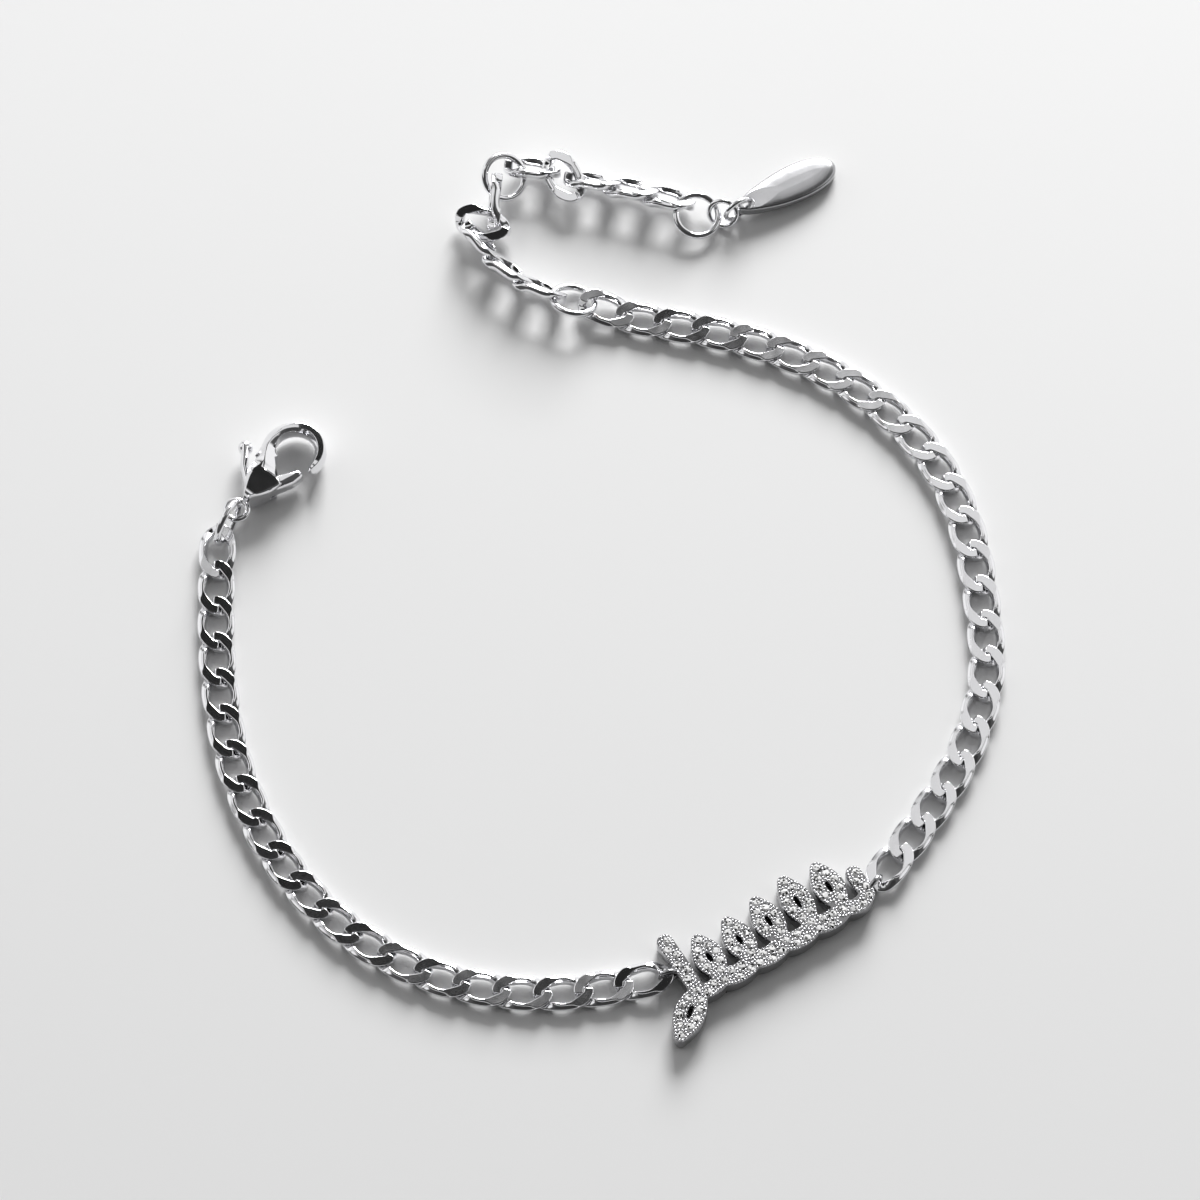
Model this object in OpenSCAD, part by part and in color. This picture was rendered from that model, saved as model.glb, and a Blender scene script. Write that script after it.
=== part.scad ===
/* [Curb chain] */
// Distance from one link's centre to the next
link_pitch = 3.2; // [3.15:0.01:3.25]
// Width of the chain across its links
chain_w = 3.0; // [2.95:0.01:3.05]
// Height of the chain between its two ground faces
chain_t = 1.1; // [1.0:0.01:1.2]
// Width of a link's wire seen from above
wire_w = 0.62; // [0.55:0.01:0.64]
// Height of a link's wire
wire_t = 0.54; // [0.5:0.01:0.55]
// Play between the ends of two links that hold each other
link_play = 0.18; // [0.16:0.01:0.2]
// Gap between two links' wires where they cross
cross_gap = 0.25; // [0.24:0.01:0.28]

/* [Jump rings] */
// Outer diameter of the large jump rings
ring_d = 4.1; // [4.0:0.01:4.2]
// Wire diameter of the large jump rings
ring_wire = 0.55; // [0.5:0.01:0.6]
// Outer diameter of the tag's ring
tag_ring_d = 2.7; // [2.6:0.01:2.8]
// Wire diameter of the tag's ring
tag_ring_wire = 0.4; // [0.35:0.01:0.45]

/* [Plate] */
// Length of the plate from the hole of one end eye to the other
plate_len = 18.0; // [17.9:0.01:18.1]
// Height of the plate's metal
plate_t = 1.5; // [1.3:0.01:1.7]
// Width of the scalloped stem
stem_w = 1.6; // [1.55:0.01:1.65]
// Width of a leaf's rim
rim_w = 1.1; // [1.05:0.01:1.15]
// Diameter of a stone
stone_d = 0.72; // [0.65:0.01:0.74]
// Distance between the centres of two stones, at the least
stone_pitch = 0.83; // [0.83:0.01:0.9]

/* [Clasp] */
// Height of the clasp's body
claw_t = 2.6; // [2.4:0.01:2.8]
// Thickness of the lever
lever_t = 1.3; // [1.2:0.01:1.4]
// Diameter of the pivot pin
pin_d = 0.6; // [0.5:0.01:0.7]

/* [Tag] */
// Length of the tag's leaf
tag_len = 9.2; // [9.0:0.01:9.4]
// Width of the tag's leaf
tag_w = 3.1; // [3.0:0.01:3.2]
// Thickness of the tag
tag_t = 0.9; // [0.8:0.01:1.0]

/* [Hidden] */
silver = [0.86, 0.86, 0.87];
clear_stone = [0.93, 0.95, 0.97];

// A link's centre line is an ellipse that is twisted about its long axis.
link_b = (chain_w - wire_w) / 2;
link_a = (link_pitch + wire_w + link_play) / 2;
cross_x = link_pitch / 2;
cross_y = link_b * sqrt(1 - pow(cross_x / link_a, 2));
link_twist = (wire_t + cross_gap) / (2 * cross_x * cross_y);
link_steps = 14;
// Corners of the wire's section: out from the link's middle, up
wire_corners = [[1, 0], [0.55, 1], [-0.55, 1], [-1, 0], [-0.55, -1], [0.55, -1]];

// Rows of the chains, walked away from the plate: links, turn to the left per link, tilt, roll
left_rows = [
    [1, 0, -5, 0],
    [1, -2, 0, 0],
    [1, -6, 0, 0],
    [7, -7.6, 0, 0],
    [2, -6.5, 0, 0],
    [3, -5.5, 0, 0],
    [1, -4, 0, 0],
    [2, -3, 0, 0],
    [1, -1, 0, 0],
    [1, -1, 5, 0]];
right_rows = [
    [1, 0, -5, 0],
    [2, 2, 0, 0],
    [1, 4, 0, 0],
    [2, 6.5, 0, 0],
    [2, 9.5, 0, 0],
    [2, 2, 0, 0],
    [2, 6, 0, 0],
    [2, 9, 0, 0],
    [2, 7.5, 0, 0],
    [2, 6.5, 0, 0],
    [2, 5, 0, 0],
    [1, 3, 0, 0],
    [1, -1, 0, 0],
    [1, -7, 8, 0]];
left_heading = 192;
right_heading = 54;
// The right chain lies a little closed up.
right_slack = 0.05;

// Links of the extender as they lie, from the middle of the ring that starts it:
// x, y, height, heading, tilt, roll
first_stretch_rows = [
    [-2.3, 1.15, 1.45, 155, 1, 52],
    [-4.9, 2.9, 1.45, 140, 1, 54],
    [-6.97, 5.3, 1.48, 125, 1, 59],
    [-6.95, 7.25, 1.3, 158, -3, -4],
    [-6.0, 9.15, 1.65, 86, 17, 95]];
second_stretch_rows = [
    [-2.9, 12.4, 1.45, -9, -1, -36],
    [-0.35, 11.4, 1.7, -62, -8, 8],
    [2.0, 11.15, 1.45, -14, 2, -44],
    [5.1, 10.4, 1.5, -15, 3, -35],
    [8.1, 9.55, 1.5, -16, -2, -31]];

// From the middle of the right chain's last link to the middle of the ring at its end
end_off = [-3.13, 0.46];
// Places of the rings: from the same middle, x, y, height, heading of the level diameter, tilt
chain_end_row = [0.45, 0.2, 1.22, 155, 26];
mid_ring_row = [-5.2, 11.35, 1.85, 48, 34];
end_ring_row = [10.55, 8.1, 1.2, 46, 13];
tag_link_row = [12.67, 8.3, 1.17, -13.5, 57];
tag_ring_row = [13.88, 8.61, 1.36, 33, 90];

// The plate places everything else: the whole bracelet is centred on the origin.
plate_at = [13.43, -29.85, 0];
plate_angle = 31.8;
// Leaves on the stem: place along it, height of the tip
leaf_rows = [[-5.6, 2.05], [-2.8, 2.1], [0, 2.4], [2.8, 2.75], [5.6, 2.4]];
leaf_w = 0.72;
// The strokes at the plate's ends: place along it, height of the top
end_rows = [[-7.85, 3.3], [7.85, 0.5]];
end_w = 1.3;
// The leaf that hangs at the left end: root, length, heading
drop_root = [-7.7, -1.5];
drop_len = 4.2;
drop_heading = 128;
stem_top = -1.3;
stem_sag = 0.65;
plate_fillet = 0.12;
// The eyes stand on edge below the plate's long axis on the right and above it on the left.
eye_lean = -6;
eye_turn = 20;
eye_r = 0.71;
eye_wire = 0.4;
eye_z = 0.91;
// From a stone's centre to the edge of the metal, and the step between tried places
stone_room = 0.44;
try_step = 0.06;
seat_play = 0.03;
seat_deep = 0.4;
girdle_sink = 0.04;
// Levels of a stone as height over its girdle and radius as a share of the girdle's
stone_table = [0.13, 0.6];
stone_culet = -0.33;

// The clasp: its eye from the left chain's last link, and its own x along it from the eye
claw_off = [1.53, 3.5];
claw_angle = 47;
claw_eye_r = 0.86;
claw_eye_wire = 0.52;
pivot = [2.3, 0];
hub_r = 0.7;
// Rounded corners of the lever: x, y, radius
gate_corners = [[4.85, -1.25, 0.55], [5.5, -1.45, 0.4]];
thumb_corners = [[2.25, 1.0, 0.3], [3.1, 2.25, 0.27], [4.5, 3.4, 0.35]];
thumb_ball_d = 1.25;
lever_swing = 30;
lever_play = 0.1;
hook_at = [6.85, 0.2];
hook_r = 2.12;
// Sections of the hook from root to tip: angle about its middle, width, height
hook_rows = [[150, 1.1, 2.4], [120, 1.1, 2.3], [90, 1.05, 2.1], [60, 1.0, 2.0], [30, 0.95, 1.9],
    [0, 0.95, 1.8], [-30, 0.9, 1.7], [-60, 0.85, 1.6], [-85, 0.8, 1.4], [-100, 0.7, 1.1]];
hook_corners = [[1, -0.4], [0.5, -1], [-0.6, -1], [-1, -0.5],
    [-1, 0.5], [-0.6, 1], [0.5, 1], [1, 0.4]];
// Rounded corners of the clasp's body: x, y, radius
claw_corners = [[1.45, 0.15, 0.5], [3.1, -1.0, 0.6], [4.2, -0.85, 0.35],
    [5.1, 1.75, 0.7], [2.6, 0.95, 0.45]];
claw_bevel = 0.5;
// From the middle of the left chain's last link to the middle of the clasp's ring
clasp_ring_off = [0.86, 1.97, 2.06];
clasp_ring_heading = 63;

// Its tail rests on its ring, so the tag dips towards its far end.
tag_off = [13.85, 8.6, 0.76];
tag_dip = 4.5;
tag_angle = 30;
tag_bevel = 0.22;
// The hole in the tag's tail
tag_hole_at = 0.95;
tag_hole_d = 1.0;

function direction(heading, tilt) =
    [cos(tilt) * cos(heading), cos(tilt) * sin(heading), sin(tilt)];
function unit(v) = v / norm(v);
function turned(p, a) = [p[0] * cos(a) - p[1] * sin(a), p[0] * sin(a) + p[1] * cos(a)];
function on_plate(p) = plate_at + concat(turned(p, plate_angle), [p[2]]);
function spread(rows) = [for (r = rows) for (i = [1 : r[0]]) [r[1], r[2], r[3]]];

// Places of a chain's links as [centre, heading, tilt, roll], a pitch apart along the mean direction
function walk(start, heading, rows, pitch) = let (s = spread(rows), n = len(s))
    [for (i = 0, h = heading, p = start; i < n;
          i = i + 1,
          r = s[min(i, n - 1)],
          q = s[i - 1],
          p = p + pitch * unit(direction(h, q[1]) + direction(h + r[0], r[1])),
          h = h + r[0])
        [p, h, s[i][1], s[i][2]]];
function placed(rows) = [for (r = rows) [chain_end + [r[0], r[1], r[2]], r[3], r[4], r[5]]];

function eye_at(side) = concat(turned([side * plate_len / 2, 0], eye_lean), [eye_z]);
left_start = on_plate(eye_at(-1)) + link_a * direction(left_heading, left_rows[0][2]);
right_start = on_plate(eye_at(1)) + link_a * direction(right_heading, right_rows[0][2]);
left_places = walk(left_start, left_heading, left_rows, link_pitch);
right_places = walk(right_start, right_heading, right_rows, link_pitch - right_slack);
left_last = left_places[len(left_places) - 1];
right_last = right_places[len(right_places) - 1];
chain_end = [right_last[0][0] + end_off[0], right_last[0][1] + end_off[1], 0];
claw_at = [left_last[0][0] + claw_off[0], left_last[0][1] + claw_off[1], claw_t / 2];

// Points of a link's wire around its hexagonal section at angle t
function link_row(t) = let (
        tangent = unit([-link_a * sin(t), link_b * cos(t)]),
        out = [tangent[1], -tangent[0]],
        x = link_a * cos(t),
        y = link_b * sin(t))
    [for (c = wire_corners)
        [x + out[0] * c[0] * wire_w / 2,
         y + out[1] * c[0] * wire_w / 2,
         max(-chain_t / 2, min(chain_t / 2, -link_twist * x * y + c[1] * wire_t / 2))]];

// Triangles between n rings of m points each, joined end to end
function wrap_faces(n, m) = [for (i = [0 : n - 1]) for (j = [0 : m - 1])
    let (a = i * m + j, b = i * m + (j + 1) % m,
         c = ((i + 1) % n) * m + j, d = ((i + 1) % n) * m + (j + 1) % m)
    each [[a, b, d], [a, d, c]]];
// The same with an open start and end, each closed by a flat cap
function sweep_faces(n, m) = concat(
    [for (i = [0 : n - 2]) for (j = [0 : m - 1])
        let (a = i * m + j, b = i * m + (j + 1) % m, c = a + m, d = b + m)
        each [[a, b, d], [a, d, c]]],
    [[for (j = [m - 1 : -1 : 0]) j]],
    [[for (j = [0 : m - 1]) (n - 1) * m + j]]);

module link() {
    polyhedron(
        points = [for (i = [0 : link_steps - 1]) each link_row(360 * i / link_steps)],
        faces = wrap_faces(link_steps, len(wire_corners)),
        convexity = 6);
}

module chain(places) {
    for (p = places)
        translate(p[0]) rotate([p[3], -p[2], p[1]]) link();
}

module ring(outer_d, wire) {
    rotate_extrude($fn = 64) translate([(outer_d - wire) / 2, 0]) circle(d = wire, $fn = 24);
}

module lying_ring(row, outer_d, wire) {
    translate(chain_end + [row[0], row[1], row[2]]) rotate([row[4], 0, row[3]]) ring(outer_d, wire);
}

// A leaf's centre line, a lens with a point at each end: one side from its foot to its tip
function leaf_side(length, side) =
    [for (i = [0 : 12]) [side * leaf_w * sin(15 * i), length * i / 12]];
function back(p) = [for (i = [len(p) - 1 : -1 : 0]) p[i]];
// The plate's leaves as [foot, turn to the left, length]
leaves = concat(
    [for (r = leaf_rows) [[r[0], stem_top], 0, r[1] - stem_top]],
    [[drop_root, drop_heading, drop_len]]);
function on_leaf(leaf, p) = leaf[0] + turned(p, leaf[1]);

function scallop(from, to) = [for (i = [0 : 10])
    [(from + to) / 2 - (to - from) / 2 * cos(18 * i), stem_top - stem_sag * sin(18 * i)]];
stem_path = [for (i = [0 : len(leaf_rows) - 2]) each scallop(leaf_rows[i][0], leaf_rows[i + 1][0])];
function end_path(row) = let (inner = leaf_rows[row[0] < 0 ? 0 : len(leaf_rows) - 1][0])
    concat(scallop(inner, row[0]), [row]);

function normal(p, i) = let (
        a = p[max(i - 1, 0)],
        b = p[min(i + 1, len(p) - 1)],
        t = unit(b - a))
    [-t[1], t[0]];
// A path as an outline of almost no width, ready to be grown
function ribbon(p) = concat(
    [for (i = [0 : len(p) - 1]) p[i] + 0.01 * normal(p, i)],
    [for (i = [len(p) - 1 : -1 : 0]) p[i] - 0.01 * normal(p, i)]);

// Running length of a path, and the point at a length along it with the path's normal
function lengths(p) = [for (i = 0, s = 0; i < len(p);
    i = i + 1, s = s + (i < len(p) ? norm(p[i] - p[i - 1]) : 0)) s];
function path_len(p) = let (run = lengths(p)) run[len(run) - 1];
function along(p, s, off = 0) = let (
        run = lengths(p),
        point = [for (k = [0, 1]) lookup(s, [for (i = [0 : len(p) - 1]) [run[i], p[i][k]]])],
        side = [for (k = [0, 1]) lookup(s, [for (i = [0 : len(p) - 1]) [run[i], normal(p, i)[k]]])])
    point + off * side;

// Where stones may sit, tried in order: a leaf's two sides from its tip down, two rows on a stroke
function leaf_tries(leaf) = let (
        sides = [for (k = [1, -1]) back(leaf_side(leaf[2], k))])
    [for (s = [0 : try_step : path_len(sides[0])]) for (p = sides) on_leaf(leaf, along(p, s))];
function stroke_tries(p, off) =
    [for (s = [0 : try_step : path_len(p)]) for (k = [1, -1]) along(p, s, k * off)];
function clear_of(p, list) = len([for (q = list) if (norm(p - q) < stone_pitch - 0.001) 1]) == 0;
function thinned(list, i = 0, kept = []) =
    i == len(list) ? kept
    : thinned(list, i + 1, clear_of(list[i], kept) ? concat(kept, [list[i]]) : kept);
stone_places = thinned(concat(
    [for (leaf = leaves) on_leaf(leaf, [0, leaf[2]])],
    [for (leaf = leaves) each leaf_tries(leaf)],
    [for (row = end_rows) each stroke_tries(back(end_path(row)), end_w / 2 - stone_room)],
    stroke_tries(stem_path, stem_w / 2 - stone_room),
    stroke_tries(stem_path, 0)));

module leaf_outline(leaf, grow) {
    translate(leaf[0]) rotate(leaf[1]) offset(r = grow, $fn = 24)
        polygon(concat(leaf_side(leaf[2], 1), back(leaf_side(leaf[2], -1))));
}

module plate_outline() {
    difference() {
        union() {
            offset(r = stem_w / 2, $fn = 24) polygon(ribbon(stem_path));
            for (row = end_rows)
                offset(r = end_w / 2, $fn = 24) polygon(ribbon(end_path(row)));
            for (leaf = leaves) leaf_outline(leaf, rim_w / 2);
        }
        for (leaf = leaves) leaf_outline(leaf, -rim_w / 2);
    }
}

module nameplate() color(silver) translate(plate_at) rotate(plate_angle) {
    difference() {
        linear_extrude(plate_t)
            offset(r = -plate_fillet, $fn = 24) offset(r = plate_fillet, $fn = 24) plate_outline();
        for (p = stone_places)
            translate([p[0], p[1], plate_t - seat_deep])
                cylinder(d = stone_d + 2 * seat_play, h = seat_deep + 1, $fn = 8);
    }
    for (side = [1, -1])
        translate(eye_at(side)) rotate([90, 0, side * eye_turn])
            ring(2 * eye_r + eye_wire, eye_wire);
}

function octagon(r, z) = [for (i = [0 : 7]) [r * cos(45 * i), r * sin(45 * i), z]];

module stone() {
    polyhedron(
        points = concat([[0, 0, stone_culet]], octagon(stone_d / 2, 0),
            octagon(stone_table[1] * stone_d / 2, stone_table[0])),
        faces = concat(
            [for (i = [0 : 7]) [0, 1 + i, 1 + (i + 1) % 8]],
            [for (i = [0 : 7]) [1 + i, 9 + i, 9 + (i + 1) % 8, 1 + (i + 1) % 8]],
            [[for (i = [7 : -1 : 0]) 9 + i]]));
}

module pave_stones() color(clear_stone) translate(plate_at) rotate(plate_angle)
    for (p = stone_places)
        translate([p[0], p[1], plate_t - girdle_sink]) stone();

// Section of the hook at a row of its table
function hook_row(r) = let (out = [cos(r[0]), sin(r[0])])
    [for (c = hook_corners)
        [hook_at[0] + out[0] * (hook_r + c[0] * r[1] / 2),
         hook_at[1] + out[1] * (hook_r + c[0] * r[1] / 2),
         c[1] * r[2] / 2]];

module hook() {
    polyhedron(
        points = [for (r = hook_rows) each hook_row(r)],
        faces = sweep_faces(len(hook_rows), len(hook_corners)),
        convexity = 4);
}

module hub() {
    translate(pivot) circle(r = hub_r, $fn = 24);
}

module corners(list) {
    for (c = list) translate([c[0], c[1]]) circle(r = c[2], $fn = 24);
}

module lever_outline() {
    hull() {
        hub();
        corners(gate_corners);
    }
    hull() {
        hub();
        corners([thumb_corners[0]]);
    }
    hull() corners([thumb_corners[0], thumb_corners[1]]);
    hull() corners([thumb_corners[1], thumb_corners[2]]);
}

// The room in the body that the lever swings through, its gate's side and its thumb's side
module lever_room() {
    for (side = [gate_corners, thumb_corners])
        hull() {
            hub();
            for (a = [0, lever_swing])
                translate(pivot) rotate(a) translate(-pivot) corners(side);
        }
}

module at_claw() {
    translate(claw_at) rotate(claw_angle) children();
}

module claw_body() color(silver) at_claw() {
    difference() {
        union() {
            hull()
                for (c = claw_corners, step = [0, claw_bevel])
                    translate([c[0], c[1], 0])
                        cylinder(r = max(c[2] - step, 0.05), h = claw_t - 2 * (claw_bevel - step),
                            center = true, $fn = 16);
            hook();
        }
        translate([0, 0, -lever_t / 2 - lever_play])
            linear_extrude(lever_t + 2 * lever_play) offset(r = lever_play, $fn = 24) lever_room();
    }
    ring(2 * claw_eye_r + claw_eye_wire, claw_eye_wire);
    translate([pivot[0], pivot[1], 0]) cylinder(d = pin_d, h = claw_t - 0.2, center = true, $fn = 32);
}

module claw_lever() color(silver) at_claw() {
    difference() {
        translate([0, 0, -lever_t / 2]) linear_extrude(lever_t) lever_outline();
        translate([pivot[0], pivot[1], 0])
            cylinder(d = pin_d + 2 * lever_play, h = claw_t, center = true, $fn = 32);
    }
    translate([thumb_corners[2][0], thumb_corners[2][1], 0]) sphere(d = thumb_ball_d, $fn = 32);
}

module clasp_ring() color(silver)
    translate([left_last[0][0], left_last[0][1], 0] + clasp_ring_off)
        rotate([90, 0, clasp_ring_heading]) ring(ring_d, ring_wire);

// Outline of the tag, narrow at its tail
function tag_edge(grow) = [for (t = [0 : 10 : 350])
    [(tag_len + 2 * grow) * (1 - cos(t)) / 2 - grow, (tag_w / 2 + grow) * sin(t) * (1 - 0.28 * cos(t))]];

module tag() color(silver) translate(chain_end + tag_off) rotate([0, tag_dip, tag_angle])
    difference() {
        hull() {
            linear_extrude(tag_t) polygon(tag_edge(-tag_bevel));
            translate([0, 0, tag_bevel]) linear_extrude(tag_t - 2 * tag_bevel) polygon(tag_edge(0));
        }
        translate([tag_hole_at, 0, -1]) cylinder(d = tag_hole_d, h = tag_t + 2, $fn = 32);
    }

module left_chain() color(silver) chain(left_places);
module right_chain() color(silver) chain(right_places);
module extender_chain_a() color(silver) chain(placed(first_stretch_rows));
module extender_chain_b() color(silver) chain(placed(second_stretch_rows));
module chain_end_ring() color(silver) lying_ring(chain_end_row, ring_d, ring_wire);
module extender_mid_ring() color(silver) lying_ring(mid_ring_row, ring_d, ring_wire);
module extender_end_ring() color(silver) lying_ring(end_ring_row, ring_d, ring_wire);
module tag_link_ring() color(silver) lying_ring(tag_link_row, tag_ring_d, tag_ring_wire);
module tag_ring() color(silver) lying_ring(tag_ring_row, tag_ring_d, tag_ring_wire);

claw_body();
claw_lever();
clasp_ring();
left_chain();
nameplate();
pave_stones();
right_chain();
chain_end_ring();
extender_chain_a();
extender_mid_ring();
extender_chain_b();
extender_end_ring();
tag_link_ring();
tag_ring();
tag();
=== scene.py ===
"""A curb chain bracelet with a pave plate, laid open on a pale table, over its CAD frame."""

import bmesh
import bpy
import numpy as np
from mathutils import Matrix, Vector
from mathutils.geometry import tessellate_polygon


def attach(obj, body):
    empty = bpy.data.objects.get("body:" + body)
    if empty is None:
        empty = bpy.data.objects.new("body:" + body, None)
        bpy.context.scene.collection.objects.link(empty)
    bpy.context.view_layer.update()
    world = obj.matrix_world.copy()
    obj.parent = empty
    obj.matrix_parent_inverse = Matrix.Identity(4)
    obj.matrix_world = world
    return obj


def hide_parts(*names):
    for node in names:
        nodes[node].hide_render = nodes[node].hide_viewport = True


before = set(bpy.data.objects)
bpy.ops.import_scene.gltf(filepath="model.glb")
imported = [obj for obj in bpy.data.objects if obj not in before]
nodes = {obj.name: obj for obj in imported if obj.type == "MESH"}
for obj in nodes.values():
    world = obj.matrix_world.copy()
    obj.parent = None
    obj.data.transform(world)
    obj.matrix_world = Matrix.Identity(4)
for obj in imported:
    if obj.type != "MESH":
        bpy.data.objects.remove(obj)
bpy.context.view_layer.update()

# The camera. The photograph looks down on the bracelet from its plate's side, at about 63 degrees
# above the table and from about two thirds of a metre. 1200 pixels of it span 96 mm of the table.
VIEW_ELEVATION = 63.5
VIEW_DISTANCE = 0.66
VIEW_SPAN = 0.096
LOOK_AT = Vector((-0.00007, -0.00057, 0.0))

camera = bpy.data.objects.new("camera", bpy.data.cameras.new("camera"))
bpy.context.scene.collection.objects.link(camera)
elevation = np.radians(VIEW_ELEVATION)
camera.location = LOOK_AT + VIEW_DISTANCE * Vector((0, -np.cos(elevation), np.sin(elevation)))
camera.rotation_euler = (np.pi / 2 - elevation, 0, 0)
camera.data.angle = 2 * np.arctan(VIEW_SPAN / 2 / VIEW_DISTANCE)
camera.data.clip_start, camera.data.clip_end = 0.05, 10
bpy.context.scene.camera = camera
bpy.context.scene.view_settings.view_transform = "Standard"


# The metal. All but the stones is brass with a bright rhodium-like plate, polished to a mirror. It
# is nearly white where it sees the lamps and nearly black where it sees nothing, and wear has left
# faint clouds and fine hairlines on it.
MM = 0.001
# The patterns' repeats in a millimetre: wear clouds 1.1 mm across, the polishing wheel's swells
# 1.4 mm across, and hairlines 0.11 mm apart. Real hairlines stand about 0.01 mm apart, which is
# too fine for the render, so these are drawn coarser.
CLOUDS, SWELLS, HAIRLINES = 0.9, 0.7, 9.0


def linear(hex_colour):
    """An sRGB hex colour as linear RGBA."""
    srgb = np.array([int(hex_colour[i:i + 2], 16) for i in (1, 3, 5)]) / 255
    return (*np.where(srgb <= 0.04045, srgb / 12.92, ((srgb + 0.055) / 1.055) ** 2.4), 1.0)


def add_node(tree, kind, settings=None, **links):
    """Adds a node with its settings, and a value or another node's socket on each named input.
    An input named i0, i1 and so on goes by its number."""
    node = tree.nodes.new(kind)
    for name, value in (settings or {}).items():
        setattr(node, name, value)
    for name, value in links.items():
        numbered = name[0] == "i" and name[1:].isdigit()
        key = int(name[1:]) if numbered else name.replace("_", " ")
        if isinstance(value, bpy.types.NodeSocket):
            tree.links.new(value, node.inputs[key])
        else:
            node.inputs[key].default_value = value
    return node


def new_material(name, **surface):
    """A named material with one Principled surface: the material, its tree and its surface node."""
    made = bpy.data.materials.new(name)
    made.use_nodes = True
    tree = made.node_tree
    skin = tree.nodes["Principled BSDF"]
    for key, value in surface.items():
        skin.inputs[key.replace("_", " ")].default_value = value
    return made, tree, skin


def plated_metal(name, colour, rough_low, rough_high, wave, hairline):
    """Polished plate, with clouds between the two roughnesses, swells that are wave mm high, and
    hairlines that are hairline mm deep."""
    made, tree, skin = new_material(name, Base_Color=linear(colour), Metallic=1.0)
    at = add_node(tree, "ShaderNodeTexCoord").outputs["Object"]
    cloud = add_node(tree, "ShaderNodeTexNoise", Vector=at, Scale=CLOUDS / MM, Detail=3.0)
    rough = add_node(tree, "ShaderNodeMapRange", Value=cloud.outputs["Fac"],
                     To_Min=rough_low, To_Max=rough_high)
    tree.links.new(rough.outputs["Result"], skin.inputs["Roughness"])
    swell = add_node(tree, "ShaderNodeTexNoise", Vector=at, Scale=SWELLS / MM, Detail=1.0)
    lines = add_node(tree, "ShaderNodeTexNoise", Vector=at, Scale=HAIRLINES / MM, Detail=2.0,
                     Distortion=1.5)
    bump = add_node(tree, "ShaderNodeBump", Height=swell.outputs["Fac"], Distance=wave * MM,
                    Strength=1.0)
    fine = add_node(tree, "ShaderNodeBump", Height=lines.outputs["Fac"], Distance=hairline * MM,
                    Strength=1.0, Normal=bump.outputs["Normal"])
    tree.links.new(fine.outputs["Normal"], skin.inputs["Normal"])
    return made


# Ground and buffed plate: a clear, hard mirror whose image is a little soft from wear
bright_plate = plated_metal("polished rhodium plate", "#efeff1", 0.05, 0.10, 0.003, 0.0004)


def mesh_piece(name, points, faces, material, body, replaced=(), slot="plated_silver", sharp=35,
               level=True):
    """Puts points (in mm) and faces into a mesh object, smooth but for edges sharper than sharp
    degrees. With level, faces that aren't quads are ground or sawn, and mirror as one plane."""
    mesh = bpy.data.meshes.new(name)
    mesh.from_pydata((np.asarray(points) * MM).tolist(), [], faces)
    mesh.update()
    mesh.shade_smooth()
    mesh.set_sharp_from_angle(angle=np.radians(sharp))
    if level:
        mesh.polygons.foreach_set("use_smooth", [len(face) == 4 for face in faces])
    piece = bpy.data.objects.new(name, mesh)
    bpy.context.scene.collection.objects.link(piece)
    mesh.materials.append(material)
    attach(piece, body)
    if replaced:
        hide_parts(*replaced)
    return piece


# Curb chains. Each link is one loop of brass wire, bent, soldered, twisted a quarter turn and then
# ground flat on its top and its underside with a diamond wheel, which leaves bright oval facets.
# Half a link's length and half its width, to the middle of its wire
LINK_A, LINK_B = 2.0, 1.15
# How high the wire climbs, how steeply in the middle of a bend and from the bend to a side, and
# how far along the side it stays level
LINK_LIFT, BEND_RISE, SIDE_RISE, SIDE_POWER = 0.47, 6.0, 4.0, 4
# The wire's width at the sides, its height, its width at the bends, and what it has more between
WIRE_W, WIRE_T, BEND_W, SHOULDER_W = 0.63, 0.68, 0.79, 0.13
# How far the wire leans outwards at the sides, in degrees, and how square its section is
SIDE_ROLL = 24
WIRE_POWER = 3.6
# How much closer together the wire's sections stand in the bends
BEND_CROWD = 0.25
NUDGE = 1e-4
# How far the ground facets are above and below the link's middle
GROUND_Z, UNDER_Z = 0.43, 0.52
# The rounding between wire and facet, from the wire inwards: steps of inset and of rise
RIM = [(0.015, 0.05), (0.03, 0.035), (0.045, 0.015)]
# Corners this near a cut are on it, and corners of a cut this near each other become one
ON_CUT, SLIVER = 1e-5, 0.02
# How much the top facets' tilt varies, in degrees, and the least room between a link and the board
GRIND_TILT = 0.25
LIE_Z = 0.01
rng = np.random.default_rng(7)


def cad_mesh(node):
    """A CAD node's separate corners in mm and its triangles over them."""
    mesh = nodes[node].data
    co = np.empty(len(mesh.vertices) * 3)
    mesh.vertices.foreach_get("co", co)
    corners = np.empty(len(mesh.loops), int)
    mesh.loops.foreach_get("vertex_index", corners)
    rounded = np.round(co.reshape(-1, 3) / MM, 4)
    unique, same = np.unique(rounded, axis=0, return_inverse=True)
    return unique, same.reshape(-1)[corners].reshape(-1, 3)


def loose_solids(node):
    """The corners of each separate solid of a CAD node, in mm. Triangles that share a corner belong
    together, so all corners of a solid end up with the lowest number that any of them had."""
    unique, triangles = cad_mesh(node)
    label = np.arange(len(unique))
    while True:
        lowest = label.copy()
        np.minimum.at(lowest, triangles, label[triangles].min(1, keepdims=True).repeat(3, 1))
        lowest = lowest[lowest]
        if (lowest == label).all():
            break
        label = lowest
    return [unique[label == k] for k in np.unique(label)]


def own_axes(points):
    """A solid's middle and its three principal axes as columns, longest first, right-handed."""
    middle = points.mean(0)
    axes = np.linalg.eigh(np.cov((points - middle).T))[1][:, ::-1]
    axes[:, 2] = np.cross(axes[:, 0], axes[:, 1])
    return middle, axes


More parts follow.
